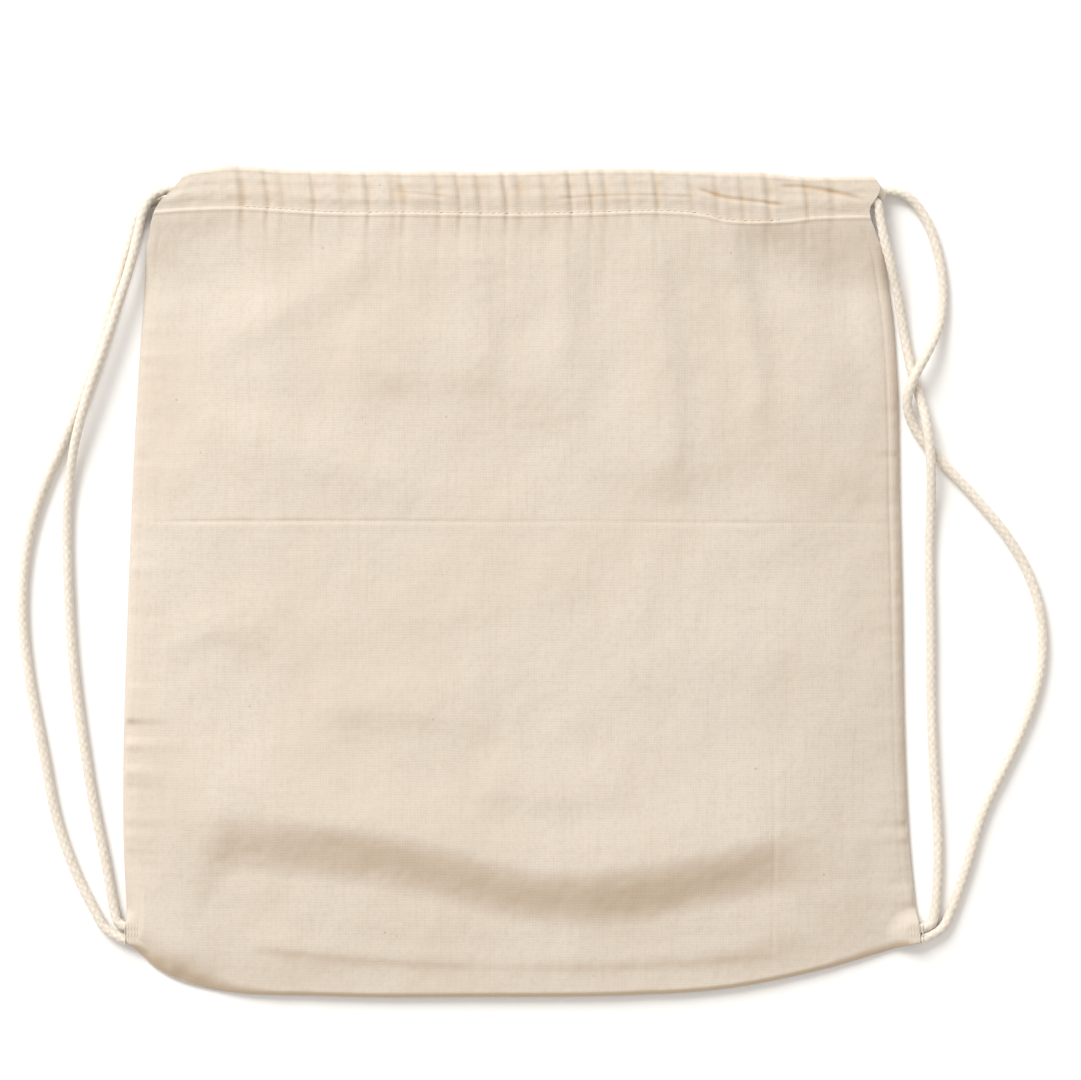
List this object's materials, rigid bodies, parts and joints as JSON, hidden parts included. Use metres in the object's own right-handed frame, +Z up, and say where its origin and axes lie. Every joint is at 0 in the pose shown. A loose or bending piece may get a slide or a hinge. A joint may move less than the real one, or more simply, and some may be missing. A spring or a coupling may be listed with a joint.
{
  "type": "drawstring backpack",
  "caption": "Flat cotton drawstring backpack with open casings along its mouth and two cords that form the shoulder straps.",
  "frame": {"origin": "middle of the bag without its cords, on the surface it lies on", "axes": "+Z up from the surface the back panel lies on, +Y from the bottom fold to the mouth, +X across the bag to the right as seen from above"},
  "size_m": [0.5144, 0.412, 0.0195],
  "materials": {
    "cotton_cloth": "matte unbleached plain weave",
    "casing_cloth": "matte unbleached plain weave, gathered",
    "cotton_cord": "matte braided cotton",
    "sewing_thread": "matte spun thread"
  },
  "bodies": {
    "bag": {"back_panel": "cotton_cloth", "front_left_margin": "cotton_cloth", "front_right_margin": "cotton_cloth", "back_casing": "casing_cloth", "left_side_seam": "cotton_cloth", "right_side_seam": "cotton_cloth", "left_back_slit_hem": "cotton_cloth", "right_back_slit_hem": "cotton_cloth", "left_front_slit_hem": "cotton_cloth", "right_front_slit_hem": "cotton_cloth", "back_casing_stitching": "sewing_thread", "left_side_stitching": "sewing_thread", "right_side_stitching": "sewing_thread", "left_corner_bartack": "sewing_thread", "right_corner_bartack": "sewing_thread", "left_cord_back_run": "cotton_cord", "right_cord_back_run": "cotton_cord", "left_cord_bight": "cotton_cord", "right_cord_bight": "cotton_cord", "left_inner_exit": "cotton_cord", "left_outer_exit": "cotton_cord", "right_inner_exit": "cotton_cord", "right_outer_exit": "cotton_cord", "left_inner_tail": "cotton_cord", "left_outer_tail": "cotton_cord", "right_inner_tail": "cotton_cord", "right_outer_tail": "cotton_cord"},
    "front": {"front_panel": "cotton_cloth", "front_casing": "casing_cloth", "front_casing_stitching": "sewing_thread", "left_cord_front_run": "cotton_cord", "right_cord_front_run": "cotton_cord"},
    "left_strap": {"left_inner_strap": "cotton_cord", "left_outer_strap": "cotton_cord"},
    "right_strap": {"right_inner_strap": "cotton_cord", "right_outer_strap": "cotton_cord"}
  },
  "joints": [
    {"name": "mouth_open", "type": "hinge", "parent": "bag", "child": "front", "pos_m": [0, -0.2062, 0.0008], "axis": [1, 0, 0], "range_deg": [0, 8]},
    {"name": "left_strap_swing", "type": "hinge", "parent": "bag", "child": "left_strap", "pos_m": [-0.2045, -0.163, 0.0025], "axis": [0.0383, 0.9991, 0.02], "range_deg": [0, 150]},
    {"name": "right_strap_swing", "type": "hinge", "parent": "bag", "child": "right_strap", "pos_m": [0.2055, -0.164, 0.0025], "axis": [0.059, -0.9978, -0.0288], "range_deg": [0, 150]}
  ]
}
